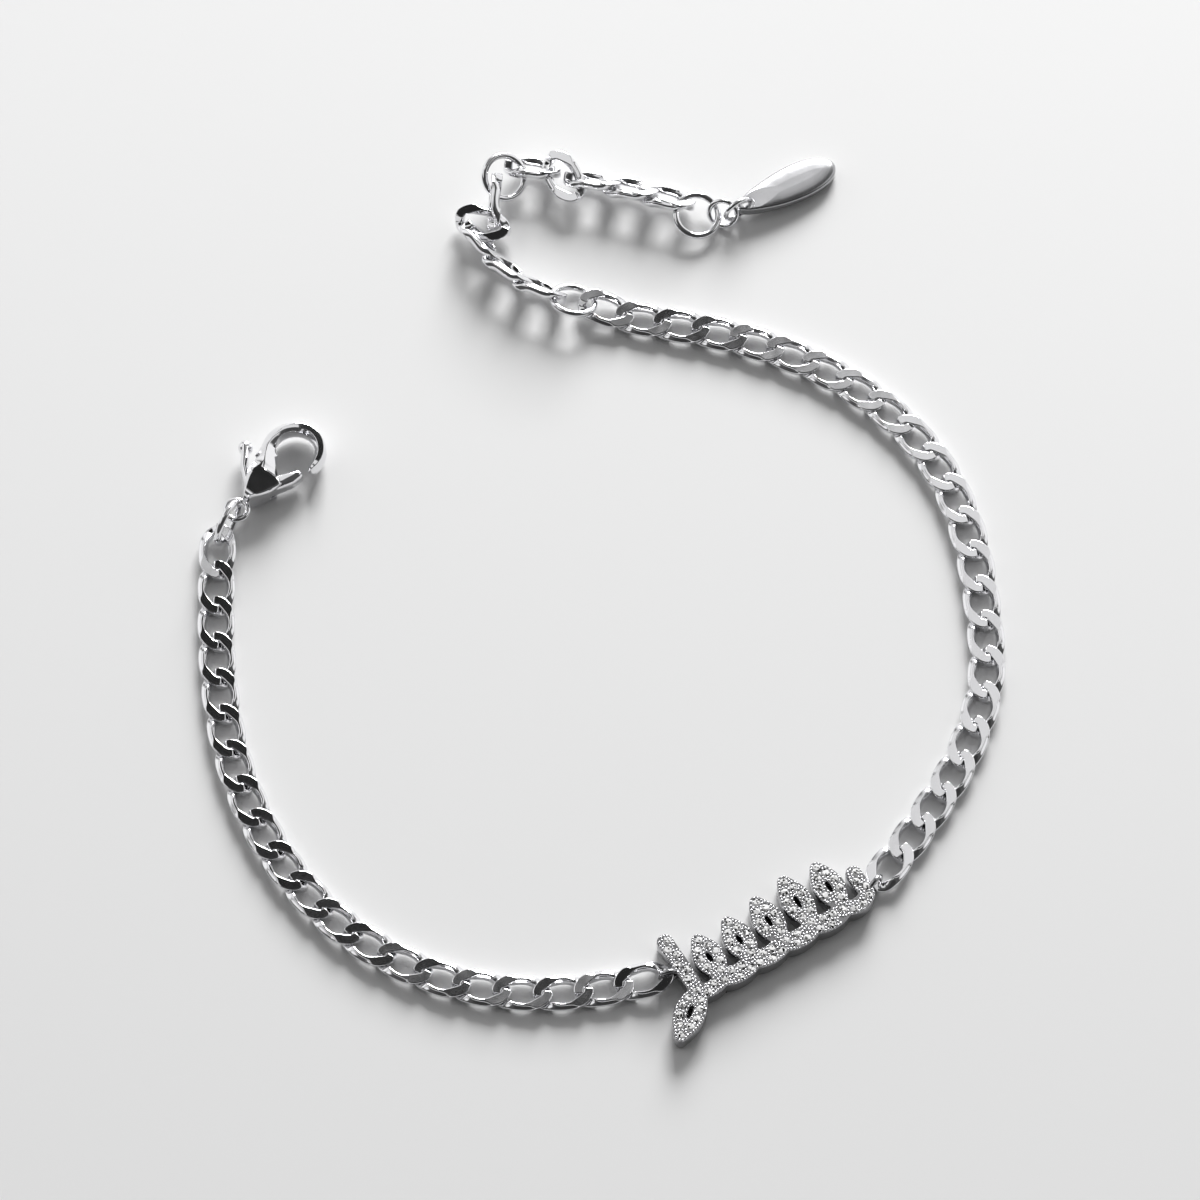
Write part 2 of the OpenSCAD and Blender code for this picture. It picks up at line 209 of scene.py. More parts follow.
def section(count, width, height, power):
    """A wire's section: a superellipse with the given width, height and power."""
    s = np.linspace(0, 2 * np.pi, count, endpoint=False)
    c, d = np.cos(s), np.sin(s)
    return np.stack([np.sign(c) * np.abs(c) ** (2 / power) * width / 2,
                     np.sign(d) * np.abs(d) ** (2 / power) * height / 2], 1)


def grid_faces(rows, columns, close_rows=True, close_columns=True):
    """Quads between neighbours of a grid of rows by columns, joined end to end where closed."""
    i, j = np.meshgrid(np.arange(rows if close_rows else rows - 1),
                       np.arange(columns if close_columns else columns - 1), indexing="ij")
    a, b = i * columns + j, i * columns + (j + 1) % columns
    c, d = ((i + 1) % rows) * columns + (j + 1) % columns, ((i + 1) % rows) * columns + j
    return np.stack([a, b, c, d], -1).reshape(-1, 4)


def joined(*parts):
    """Several (points, faces) pairs as one."""
    points, faces, count = [], [], 0
    for own, own_faces in parts:
        points.append(np.asarray(own))
        faces += [[k + count for k in f] for f in own_faces]
        count += len(own)
    return np.concatenate(points), faces


def curb_wire(steps=108, around=20):
    """A twisted link before it is ground. The wire's centre line is an ellipse in plan. It climbs
    and falls as minus LINK_LIFT times tanh(BEND_RISE sin t) times tanh(SIDE_RISE cos(t)^SIDE_POWER)
    with the sign of cos t, so it is steep in the middle of its bends and nearly level along its
    sides. Its section stays square to it, with its width level in the bends and rolled outwards by
    SIDE_ROLL degrees at the sides. The width goes from WIRE_W at the sides to BEND_W at the bends
    with cosine squared, and has SHOULDER_W more half way, where it is hammered flattest."""
    turn = np.linspace(0, 2 * np.pi, steps, endpoint=False)
    t = turn - BEND_CROWD * np.sin(2 * turn)

    def height(t):
        level = np.tanh(SIDE_RISE * np.cos(t) ** SIDE_POWER) / np.tanh(SIDE_RISE)
        return -LINK_LIFT * np.tanh(BEND_RISE * np.sin(t)) * (np.sign(np.cos(t)) * level)

    middle = np.stack([LINK_A * np.cos(t), LINK_B * np.sin(t), height(t)], 1)
    climb = (height(t + NUDGE) - height(t - NUDGE)) / (2 * NUDGE)
    along = np.stack([-LINK_A * np.sin(t), LINK_B * np.cos(t), climb], 1)
    along /= np.linalg.norm(along, axis=1, keepdims=True)
    wide = np.stack([along[:, 1], -along[:, 0], np.zeros(steps)], 1)
    wide /= np.linalg.norm(wide, axis=1, keepdims=True)
    up = np.cross(wide, along)
    roll = np.radians(SIDE_ROLL) * np.sin(t)[:, None] ** 2
    wide, up = wide * np.cos(roll) - up * np.sin(roll), up * np.cos(roll) + wide * np.sin(roll)
    cut = section(around, 1.0, WIRE_T, WIRE_POWER)
    width = WIRE_W + (BEND_W - WIRE_W) * np.cos(t) ** 2 + SHOULDER_W * np.sin(2 * t) ** 2
    across = width[:, None] * cut[:, 0]
    points = middle[:, None] + wide[:, None] * across[..., None] + up[:, None] * cut[None, :, 1:]
    return points.reshape(-1, 3), grid_faces(steps, around)


def ground_link(tilt_x, tilt_y):
    """The wire of one link with its top and its underside cut off flat. Each cut is made a little
    deep, and then stepped inwards and back up along RIM, which rounds the facet's edge."""
    points, faces = curb_wire()
    bm = bmesh.new()
    corners = [bm.verts.new(p) for p in points]
    for f in faces:
        bm.faces.new([corners[k] for k in f])
    bmesh.ops.recalc_face_normals(bm, faces=bm.faces)
    rim_rise = sum(rise for inset, rise in RIM)
    for height, lean in ((GROUND_Z - rim_rise, Vector((tilt_x, tilt_y, 1))),
                         (rim_rise - UNDER_Z, Vector((0, 0, -1)))):
        cut = bmesh.ops.bisect_plane(bm, geom=bm.verts[:] + bm.edges[:] + bm.faces[:], dist=ON_CUT,
                                     plane_co=(0, 0, height), plane_no=lean.normalized(),
                                     clear_outer=True)
        rim = [e for e in cut["geom_cut"] if isinstance(e, bmesh.types.BMEdge)]
        rim_corners = list(dict.fromkeys(v for e in rim for v in e.verts))
        bmesh.ops.remove_doubles(bm, verts=rim_corners, dist=SLIVER)
        rim = [e for e in bm.edges if e.is_boundary]
        facets = bmesh.ops.holes_fill(bm, edges=rim, sides=0)["faces"]
        for inset, rise in RIM:
            bmesh.ops.inset_region(bm, faces=facets, use_boundary=True, use_even_offset=True,
                                   thickness=inset, depth=rise)
    bm.verts.index_update()
    made = np.array([v.co for v in bm.verts]), [[v.index for v in f.verts] for f in bm.faces]
    bm.free()
    return made


def chain_piece(name, node):
    """Lays a ground link over each loose link of a CAD chain, and none sinks into the board."""
    links = []
    for solid in loose_solids(node):
        middle, axes = own_axes(solid)
        if axes[2, 2] < 0:
            axes[:, 1:] *= -1
        tilt = rng.normal(0, GRIND_TILT, 2).clip(-2 * GRIND_TILT, 2 * GRIND_TILT)
        own, own_faces = ground_link(*np.tan(np.radians(tilt)))
        own = own @ axes.T + middle
        links.append((own + [0, 0, max(0, LIE_Z - own[:, 2].min())], own_faces))
    mesh_piece(name, *joined(*links), bright_plate, "bracelet", [node])


for chain_node in ("left_chain", "right_chain", "extender_chain_a", "extender_chain_b"):
    chain_piece(chain_node + "_links", chain_node)


# Jump rings. Round brass wire, wound on a rod, sawn into rings and plated. Each is hung through its
# neighbours and pressed shut, so one fine cut is left in it, turned to any side.
RING_OUTER, RING_WIRE = 4.1, 0.55
TAG_RING_OUTER, TAG_RING_WIRE = 2.7, 0.4
# How far a ring is open at its cut, in degrees, where it was sawn and where it was soldered
SAWN, SOLDERED = 1.2, 0.01


def torus(radius, wire, steps=72, around=20, cut_degrees=SAWN):
    """A ring of round wire about z, open by a hair at its cut, where flat caps close the wire."""
    t = np.radians(np.linspace(cut_degrees / 2, 360 - cut_degrees / 2, steps))
    cut = section(around, wire, wire, 2.0)
    out = radius + cut[:, 0]
    points = np.stack([np.cos(t)[:, None] * out, np.sin(t)[:, None] * out,
                       np.broadcast_to(cut[:, 1], (steps, around))], -1).reshape(-1, 3)
    faces = grid_faces(steps, around, close_rows=False)[:, ::-1].tolist()
    faces += [list(range(around)), list(range(len(points) - 1, len(points) - 1 - around, -1))]
    return points, faces


def jump_ring(node, outer, wire):
    """A sawn ring laid where the CAD ring is, with its cut turned to the side at random."""
    middle, axes = own_axes(loose_solids(node)[0])
    points, faces = torus((outer - wire) / 2, wire)
    turn = rng.uniform(0, 2 * np.pi)
    spin = np.array([[np.cos(turn), -np.sin(turn), 0], [np.sin(turn), np.cos(turn), 0], [0, 0, 1]])
    points = points @ (axes @ spin).T + middle
    mesh_piece(node + "_wire", points, faces, bright_plate, "bracelet", [node])


for ring_node in ("clasp_ring", "chain_end_ring", "extender_mid_ring", "extender_end_ring"):
    jump_ring(ring_node, RING_OUTER, RING_WIRE)
for ring_node in ("tag_link_ring", "tag_ring"):
    jump_ring(ring_node, TAG_RING_OUTER, TAG_RING_WIRE)


# The nameplate. One brass casting, plated and polished: walls square to the table with softened
# edges, pierced between its strokes, its face drilled with a seat for every stone, and an eye
# soldered to each end.
PLATE_T = 1.5
PLATE_AT = np.array([13.43, -29.85])
PLATE_TURN = 31.8
# Where an eye is along the plate, how its line leans, how it is turned, and its middle's height
EYE_ALONG, EYE_LEAN, EYE_TURN, EYE_Z = 9.0, -6, 20, 0.91
EYE_R, EYE_WIRE = 0.71, 0.4
# The wall's profile from the table up as (inset, height), and a seat's from its rim down as
# (radius, height)
WALL = [(0.14, 0.0), (0.09, 0.02), (0.06, 0.12), (0.02, 0.36), (0.0, 0.7), (0.0, 1.43),
        (0.01, 1.475), (0.035, 1.5)]
SEAT = [(0.375, 1.5), (0.365, 1.46), (0.30, 1.28), (0.12, 1.12)]
SEAT_SIDES = 16
# The longest side of a wall, and how near the lowest corner others are level with it
WALL_STEP, LEVEL = 0.12, 0.001
# Cast and tumbled, not ground: softer than the links, so that its walls show no hard images. Its
# darker grey colour is painted shade, for the shadowed table that its walls mirror, and it sets off
# the stones
cast_plate_with_painted_shade = plated_metal("polished cast plate with painted shade", "#aaaaac", 0.14, 0.24, 0.006, 0.0009)


def outlines(node):
    """Closed outlines of a CAD node's level underside in mm: the chained edges that only one of its
    triangles has. The first is the outer one and runs anticlockwise, the openings run clockwise."""
    unique, triangles = cad_mesh(node)
    floor = unique[:, 2].min() + LEVEL
    low = triangles[(unique[triangles][..., 2] < floor).all(1)]
    sides = {(a, b) for tri in low.tolist() for a, b in zip(tri, tri[1:] + tri[:1])}
    after = {a: b for a, b in sides if (b, a) not in sides}
    loops = []
    while after:
        start = next(iter(after))
        loop, here = [start], after.pop(start)
        while here != start:
            loop.append(here)
            here = after.pop(here)
        loops.append(unique[loop][:, :2])
    area = [0.5 * np.sum(p[:, 0] * np.roll(p[:, 1], -1) - p[:, 1] * np.roll(p[:, 0], -1))
            for p in loops]
    order = np.argsort(-np.abs(area))
    return [loops[k][::-1] if (area[k] < 0) == (k == order[0]) else loops[k] for k in order]


def refine(loop, step):
    """The same outline with its longer sides divided, so that no side is longer than step."""
    made = []
    for a, b in zip(loop, np.roll(loop, -1, 0)):
        n = max(1, int(np.ceil(np.linalg.norm(b - a) / step)))
        made.append(a + (b - a) * np.arange(n)[:, None] / n)
    return np.concatenate(made)


def inward(loop):
    """Unit normals to the left of an outline at its corners, which point into the metal."""
    side = np.roll(loop, -1, 0) - loop
    side /= np.linalg.norm(side, axis=1, keepdims=True)
    mean = side + np.roll(side, 1, 0)
    mean /= np.linalg.norm(mean, axis=1, keepdims=True)
    return np.stack([-mean[:, 1], mean[:, 0]], 1)


def turned(points, degrees):
    """Points turned anticlockwise about z."""
    c, s = np.cos(np.radians(degrees)), np.sin(np.radians(degrees))
    points = np.array(points, float)
    x, y = points[..., 0].copy(), points[..., 1].copy()
    points[..., 0], points[..., 1] = c * x - s * y, s * x + c * y
    return points


def slab(loops, wall, pits=(), pit_wall=(), ways=None):
    """A plate with the given outlines. Its wall is a profile of (inset, height) carried along each
    outline, its faces fill what lies between the profiles' ends, and pits sink into its top face.
    ways are the outlines' inset vectors, where they aren't the plain ones."""
    points, faces, tops, floors, count = [], [], [], [], 0
    for loop, into in zip(loops, ways or [inward(loop) for loop in loops]):
        rows = np.stack([np.column_stack([loop + d * into, np.full(len(loop), z)])
                         for d, z in wall])
        faces += (grid_faces(len(wall), len(loop), close_rows=False) + count).tolist()
        floors.append(np.arange(len(loop)) + count)
        tops.append(floors[-1] + (len(wall) - 1) * len(loop))
        points.append(rows.reshape(-1, 3))
        count += rows.size // 3
    turn = np.linspace(0, 2 * np.pi, SEAT_SIDES, endpoint=False)
    round_pit = np.arange(SEAT_SIDES)
    for x, y in pits:
        rows = np.stack([np.column_stack([x + r * np.cos(turn), y - r * np.sin(turn),
                                          np.full(SEAT_SIDES, z)]) for r, z in pit_wall])
        sides = grid_faces(len(pit_wall), SEAT_SIDES, close_rows=False)[:, ::-1]
        faces += (sides + count).tolist()
        faces.append((round_pit[::-1] + count + SEAT_SIDES * (len(pit_wall) - 1)).tolist())
        tops.append(round_pit + count)
        points.append(rows.reshape(-1, 3))
        count += rows.size // 3
    points = np.concatenate(points)
    for rings, up in ((tops, 1), (floors, -1)):
        index = np.concatenate(rings)
        for tri in tessellate_polygon([[Vector(points[k]) for k in ring] for ring in rings]):
            a, b, c = (int(index[k]) for k in tri)
            lift = np.cross(points[b] - points[a], points[c] - points[a])[2]
            faces.append([a, b, c] if lift * up > 0 else [a, c, b])
    return points, faces


def plate_eye(side):
    """A soldered eye on edge at one end of the plate."""
    ring, ring_faces = torus(EYE_R, EYE_WIRE, cut_degrees=SOLDERED)
    upright = np.stack([ring[:, 0], -ring[:, 2], ring[:, 1] + EYE_Z], 1)
    place = turned([[side * EYE_ALONG, 0, 0]], EYE_LEAN) + turned(upright, side * EYE_TURN)
    return turned(place, PLATE_TURN) + [*PLATE_AT, 0], ring_faces


plate_loops = [refine(loop, WALL_STEP) for loop in outlines("nameplate")]
stone_at = np.array([solid.mean(0)[:2] for solid in loose_solids("pave_stones")])
casting = joined(slab(plate_loops, WALL, stone_at, SEAT), plate_eye(1), plate_eye(-1))
# The casting wears the darker plate, whose grey is painted shade
mesh_piece("plate_casting", *casting, cast_plate_with_painted_shade, "bracelet", ["nameplate"])

# Grains. The setter raises small beads of the plate's own metal between the stones and burnishes
# them over the girdles, which holds the stones. They fill every gap that is wide enough.
# The raster that is searched for gaps, and the least and the greatest radius of a bead
GRAIN_STEP, GRAIN_MIN, GRAIN_MAX = 0.05, 0.07, 0.13
# A stone's radius, how far a bead laps over it, and how far from it a bead may stand
GIRDLE_R, STONE_LAP, STONE_REACH = 0.36, 0.07, 0.3
# A bead's least room to the wall's corners, and the room round it, in its own radii
WALL_ROOM, GRAIN_ROOM = 0.01, 1.75
# A bead's height: a share of its radius and a part that is the same for all, less what is sunk
GRAIN_DOME, GRAIN_STAND, GRAIN_SUNK = 0.8, 0.05, 0.03
DOME_ROWS, DOME_SIDES = 4, 10


def room_for_grains(block, gap):
    """The radius of the largest bead at each spot of a block, given the spots' gaps to the stones,
    and 0 outside the metal. A spot is in the metal where a line from it to the right crosses the
    plate's outlines an odd number of times."""
    inside, wall_gap = np.zeros(len(block), bool), np.full(len(block), np.inf)
    for loop in plate_loops:
        a, b = loop, np.roll(loop, -1, 0)
        spans = (a[:, 1] > block[:, 1:2]) != (b[:, 1] > block[:, 1:2])
        rise = np.where(a[:, 1] == b[:, 1], 1.0, b[:, 1] - a[:, 1])
        at_x = a[:, 0] + (block[:, 1:2] - a[:, 1]) / rise * (b[:, 0] - a[:, 0])
        inside ^= (spans & (block[:, 0:1] < at_x)).sum(1) % 2 == 1
        to_corners = np.linalg.norm(block[:, None] - a[None], axis=2).min(1)
        wall_gap = np.minimum(wall_gap, to_corners)
    return np.where(inside, np.minimum(gap + STONE_LAP, wall_gap - WALL_ROOM), 0)


low, high = plate_loops[0].min(0), plate_loops[0].max(0)
gx, gy = np.meshgrid(np.arange(low[0], high[0], GRAIN_STEP),
                     np.arange(low[1], high[1], GRAIN_STEP))
spots = np.stack([gx.ravel(), gy.ravel()], 1)
stone_gap = np.linalg.norm(spots[:, None] - stone_at[None], axis=2).min(1) - GIRDLE_R
near = (stone_gap > GRAIN_MIN - STONE_LAP) & (stone_gap < STONE_REACH)
spots, stone_gap = spots[near], stone_gap[near]
room = np.concatenate([room_for_grains(block, gap) for block, gap
                       in zip(np.array_split(spots, 16), np.array_split(stone_gap, 16))])
room = room.clip(0, GRAIN_MAX)
grains = []
while room.max() > GRAIN_MIN:
    best = room.argmax()
    spot, size = spots[best].copy(), room[best]
    grains.append((*spot, size))
    room[np.linalg.norm(spots - spot, axis=1) < GRAIN_ROOM * size] = 0
v, u = np.meshgrid(np.linspace(0, np.pi / 2, DOME_ROWS + 1)[:-1],
                   np.linspace(0, 2 * np.pi, DOME_SIDES, endpoint=False), indexing="ij")
dome = np.stack([np.cos(v) * np.cos(u), np.cos(v) * np.sin(u), np.sin(v)], -1).reshape(-1, 3)
dome = np.concatenate([dome, [[0, 0, 1]]])
dome_faces = grid_faces(DOME_ROWS, DOME_SIDES, close_rows=False).tolist()
top_row, pole = (DOME_ROWS - 1) * DOME_SIDES, DOME_ROWS * DOME_SIDES
dome_faces += [[top_row + k, top_row + (k + 1) % DOME_SIDES, pole] for k in range(DOME_SIDES)]
dome_faces += [list(range(DOME_SIDES - 1, -1, -1))]
beads = joined(*[(dome * [r, r, GRAIN_DOME * r + GRAIN_STAND] + [x, y, PLATE_T - GRAIN_SUNK],
                  dome_faces) for x, y, r in grains])
mesh_piece("setting_grains", *beads, bright_plate, "bracelet", sharp=60, level=False)

# Stones. Round brilliants of cubic zirconia, all of one size, each pressed into its own seat. A
# real one has 57 facets, and these have 64, because the table is split in eight for its painted
# glints.
# Radii are shares of the stone's own, and heights are in mm from its girdle
STONE_R, TABLE_R, CROWN_Z, STAR_R, STAR_Z = 0.365, 0.56, 0.13, 0.79, 0.07
PAVILION_Z, LOWER_R, LOWER_Z = -0.30, 0.55, -0.15
GIRDLE_Z = PLATE_T - 0.04
# How much the stones lean, in degrees
STONE_SWAY = 5
# Facets whose painted glint share is below the first are painted nearly black, and those above the
# second white
PAINTED_GLINT_DARK, PAINTED_GLINT_LIGHT = 0.24, 0.30


def ring_of(radius, z, turns):
    """Points at a share of the stone's radius and a height, at the given turns in degrees."""
    a = np.radians(turns)
    return np.stack([radius * STONE_R * np.cos(a), radius * STONE_R * np.sin(a),
                     np.full(len(a), z)], 1)


eighths = np.arange(8) * 45.0
brilliant = np.concatenate([
    ring_of(TABLE_R, CROWN_Z, eighths), ring_of(STAR_R, STAR_Z, eighths + 22.5),
    ring_of(1.0, 0.0, np.arange(16) * 22.5), ring_of(LOWER_R, LOWER_Z, eighths + 22.5),
    [[0, 0, PAVILION_Z], [0, 0, CROWN_Z]]])
culet, table_middle = 40, 41
facets = []
for k in range(8):
    table, table2, star, star0 = k, (k + 1) % 8, 8 + k, 8 + (k - 1) % 8
    g0, g1, g2 = 16 + 2 * k, 17 + 2 * k, 16 + (2 * k + 2) % 16
    under, under0 = 32 + k, 32 + (k - 1) % 8
    facets += [[table, table2, table_middle], [table, star, table2], [table, star0, g0, star],
               [star, g0, g1], [star, g1, g2], [under, g1, g0], [under, g2, g1],
               [culet, under, g0, under0]]
set_stones = []
for x, y in stone_at:
    own = turned(brilliant, rng.uniform(0, 45))
    own[:, 2] += own[:, :2] @ rng.normal(0, np.radians(STONE_SWAY), 2)
    set_stones.append((own + [x, y, GIRDLE_Z], facets))
# Cut and polished cubic zirconia is clear, and bends light so strongly that to the eye a small one
# is a heap of white and black glints. They come from inside the stone and are too fine for the
# render, so they are painted: each facet has a random share, its painted glint, whose painted
# reflection makes the facet white or nearly black.
zirconia, tree, skin = new_material("cut cubic zirconia", Roughness=0.02, IOR=2.16,
                                    Transmission_Weight=0.10)
# The stones' base colour is painted reflection: white or nearly black by each facet's painted glint
# share
painted_glint = add_node(tree, "ShaderNodeAttribute", {"attribute_name": "painted_glint"})
painted_glint_tone = add_node(tree, "ShaderNodeMapRange", Value=painted_glint.outputs["Fac"], From_Min=PAINTED_GLINT_DARK,
                From_Max=PAINTED_GLINT_LIGHT, To_Min=0.01, To_Max=1.0)
tree.links.new(painted_glint_tone.outputs["Result"], skin.inputs["Base Color"])
stones = mesh_piece("cut_stones", *joined(*set_stones), zirconia, "bracelet", ["pave_stones"],
                    slot="stones")
stones.data.shade_flat()
# A random painted glint share for each facet, which paints it as a white or black reflection
shares = stones.data.attributes.new("painted_glint", "FLOAT", "FACE")
shares.data.foreach_set("value", rng.random(len(stones.data.polygons)))

# The clasp's body. A cast lobster claw: a flat-topped body that runs on into a ridged hook, with an
# eye at its tail, and a slot sawn through from the side for the lever.
CLAW_AT, CLAW_TURN = np.array([-29.1995, 6.8589, 1.3]), 47
CLAW_H = 1.3
CLAW_EYE_R, CLAW_EYE_WIRE = 0.86, 0.5
PIVOT = np.array([2.3, 0.0])
# Half the slot's height, and the pin's radius and how far it goes into each cheek
SLOT_H, PIN_R, PIN_DEEP = 0.74, 0.3, 0.05
HOOK_MIDDLE, HOOK_R = np.array([6.85, 0.2]), 2.12
# Sections of the body: middle x, y, heading, half width, half height, how far the flat top reaches
# to the right and to the left of the middle, as shares of the half width, and the right brow's
# height as a share of the half height
BODY_ROWS = [
    [0.95, 0.02, 0, 0.30, 0.62, 0.5, 0.4, 0.5],
    [1.25, 0.05, 2, 0.48, 1.12, 0.7, 0.45, 0.7],
    [1.80, 0.10, 4, 0.95, 1.36, 0.86, 0.55, 0.78],
    [2.60, 0.15, 6, 1.42, 1.36, 0.86, 0.6, 0.8],
    [3.40, 0.33, 11, 1.70, 1.38, 0.90, 0.5, 0.75],
    [3.75, 0.53, 17, 1.60, 1.36, 0.05, 0.4, 0.3],
    [4.30, 0.92, 26, 1.42, 1.34, -0.05, 0.15, 0.28],
    [4.85, 1.40, 38, 1.04, 1.28, 0.0, 0.1, 0.35]]
# Sections of the hook: angle about its middle, half width, half height, the level top's reach to
# the inside and to the outside, and the inner brow's height
HOOK_ROWS = [
    [125, 0.62, 1.18, 0.1, 0.1, 0.5],
    [95, 0.55, 1.08, 0.55, -0.2, 0.8],
    [65, 0.52, 1.0, 0.6, 0.0, 0.8],
    [35, 0.50, 0.96, 0.55, 0.35, 0.7],
    [5, 0.49, 0.94, 0.45, 0.6, 0.5],
    [-25, 0.48, 0.92, 0.45, 0.6, 0.4],
    [-55, 0.46, 0.90, 0.45, 0.55, 0.4],
    [-80, 0.42, 0.84, 0.4, 0.45, 0.4],
    [-97, 0.34, 0.6, 0.3, 0.3, 0.4],
    [-104, 0.12, 0.2, 0.3, 0.3, 0.4]]
# The foot of the right side, which is tucked in, and the left side's shoulder, as shares
FOOT_IN, FOOT_Z, SHOULDER_Z = 0.85, -0.45, 0.28
# How far a corner's softening reaches along its sides: in mm, and at most as a share of the side.
# Its middle stands this share of the way back to the corner's neighbours
SOFT, SOFT_MOST, SOFT_MIDDLE = 0.09, 0.4, 0.3
CLAW_SHARP = 15
ROW_STEPS = 8


def claw_section(half_w, half_h, right, left, brow):
    """An eight-sided section with softened corners: flat top and underside between -right and left
    as shares of the half width, sloping shoulders, and upright sides below the shoulders. On the
    right the shoulder ends at the brow, and the side tucks in below the middle."""
    corners = np.array([[-FOOT_IN, FOOT_Z], [-FOOT_IN * right, -1], [left, -1], [1, -SHOULDER_Z],
                        [1, SHOULDER_Z], [left, 1], [-right, 1], [-1, brow]])
    corners = corners * [half_w, half_h]
    before, after = np.roll(corners, 1, 0) - corners, np.roll(corners, -1, 0) - corners
    reach = SOFT * min(half_w, 1)
    before *= np.minimum(reach / np.linalg.norm(before, axis=1), SOFT_MOST)[:, None]
    after *= np.minimum(reach / np.linalg.norm(after, axis=1), SOFT_MOST)[:, None]
    softened = [corners + before, corners + SOFT_MIDDLE * (before + after), corners + after]
    return np.stack(softened, 1).reshape(-1, 2)


def smooth_rows(rows, steps):
    """A table's rows joined by smooth cubic curves, with steps rows between each two. Each curve's
    slope at a row is half the way from the row before it to the row after it."""
    rows = np.array(rows, float)
    padded = np.concatenate([[2 * rows[0] - rows[1]], rows, [2 * rows[-1] - rows[-2]]])
    t = np.linspace(0, 1, steps, endpoint=False)[:, None]
    made = [0.5 * (2 * b + (c - a) * t + (2 * a - 5 * b + 4 * c - d) * t ** 2
                   + (3 * b - a - 3 * c + d) * t ** 3)
            for a, b, c, d in zip(padded, padded[1:], padded[2:], padded[3:])]
    return np.concatenate(made + [rows[-1:]])


hook_angles = np.radians([row[0] for row in HOOK_ROWS])
hook_rows = [[*(HOOK_MIDDLE + HOOK_R * np.array([np.cos(a), np.sin(a)])), row[0] - 90, *row[1:]]
             for a, row in zip(hook_angles, HOOK_ROWS)]
claw_rows = smooth_rows(BODY_ROWS + hook_rows, ROW_STEPS)
claw_rows[:, 4] = claw_rows[:, 4].clip(max=CLAW_H)
claw = []
for x, y, heading, *shape in claw_rows:
    cut = claw_section(*shape)
    side = np.radians(heading + 90)
    claw.append(np.column_stack([x + cut[:, 0] * np.cos(side), y + cut[:, 0] * np.sin(side),
                                 cut[:, 1]]))
around = len(claw[0])
claw_faces = grid_faces(len(claw), around, close_rows=False).tolist()
claw_faces += [list(range(around))[::-1],
               list(range(around * (len(claw) - 1), around * len(claw)))]
claw = (np.concatenate(claw), claw_faces)


def at_claw(part):
    """A part of the clasp, turned and moved from the clasp's own plan to where it lies."""
    return turned(part[0], CLAW_TURN) + CLAW_AT, part[1]


def cut_away(piece, cutter):
    """Cuts a closed piece away from another one, and deletes the cutter."""
    cut = piece.modifiers.new("slot", "BOOLEAN")
    cut.operation, cut.object, cut.solver = "DIFFERENCE", cutter, "EXACT"
    bpy.context.view_layer.update()
    evaluated = piece.evaluated_get(bpy.context.evaluated_depsgraph_get())
    made = bpy.data.meshes.new_from_object(evaluated)
    piece.modifiers.clear()
    piece.data = made
    bpy.data.objects.remove(cutter)


def disc_hull(discs, sides=24):
    """The outline of the tightest band round several discs of (x, y, radius): their rims' convex
    hull, swept from left to right and back, without the corners that would bend it inwards."""
    turn = np.linspace(0, 2 * np.pi, sides, endpoint=False)
    rim = np.concatenate([np.stack([x + r * np.cos(turn), y + r * np.sin(turn)], 1)
                          for x, y, r in discs])
    order = rim[np.lexsort((rim[:, 1], rim[:, 0]))]
    hull = []
    for sweep in (order, order[::-1]):
        part = []
        for p in sweep:
            while len(part) > 1 and np.cross(part[-1] - part[-2], p - part[-2]) <= 1e-9:
                part.pop()
            part.append(p)
        hull += part[:-1]
    return np.array(hull)


# The discs that the lever's hub, gate and thumb arm are made of. The slot is what they sweep from
# shut to open, with some play
HUB = (*PIVOT, 0.7)
GATE = [(4.85, -1.25, 0.55), (5.5, -1.45, 0.4)]
THUMB = [(2.25, 1.0, 0.3), (3.1, 2.25, 0.27), (4.5, 3.4, 0.35)]
LEVER_SWING, LEVER_PLAY = 30, 0.1
PIN_SIDES = 24
claw_piece = mesh_piece("claw_casting", *at_claw(claw), bright_plate, "bracelet", ["claw_body"],
                        sharp=CLAW_SHARP)
for discs in (GATE, THUMB):
    swept = [HUB] + [(*(PIVOT + turned(np.array([x, y]) - PIVOT, a)), r)
                     for a in (0, LEVER_SWING) for x, y, r in discs]
    slot_outline = disc_hull([(x, y, r + LEVER_PLAY) for x, y, r in swept])
    slot_room, slot_faces = at_claw(slab([slot_outline], [(0, -SLOT_H), (0, SLOT_H)]))
    cutter = bpy.data.objects.new("slot", bpy.data.meshes.new("slot"))
    cutter.data.from_pydata((slot_room * MM).tolist(), [], slot_faces)
    bpy.context.scene.collection.objects.link(cutter)
    cut_away(claw_piece, cutter)
claw_piece.data.set_sharp_from_angle(angle=np.radians(CLAW_SHARP))
pin_turn = np.linspace(0, 2 * np.pi, PIN_SIDES, endpoint=False)
pin_outline = PIVOT + PIN_R * np.stack([np.cos(pin_turn), np.sin(pin_turn)], 1)
pin = slab([pin_outline], [(0, -SLOT_H - PIN_DEEP), (0, SLOT_H + PIN_DEEP)])
claw_eye = torus(CLAW_EYE_R, CLAW_EYE_WIRE, cut_degrees=SOLDERED)
mesh_piece("claw_eye_and_pin", *at_claw(joined(claw_eye, pin)), bright_plate, "bracelet")

# The clasp's lever. A small casting that turns on the pin between the sawn cheeks: a hub, a gate
# that shuts the hook and a thumb arm with a ball. Its edges are tumbled round.
LEVER_WALL = [(0.12, 0.65), (0.04, 0.69), (0.0, 0.78), (0.0, 1.52), (0.03, 1.66), (0.08, 1.77),
              (0.15, 1.87), (0.24, 1.95)]
LEVER_STEP = 0.15
# The inset round the bore, as a share of the one round the lever
BORE_BEVEL = 0.2
THUMB_BALL = np.array([4.5, 3.4, 0.0])
THUMB_BALL_R = 0.62


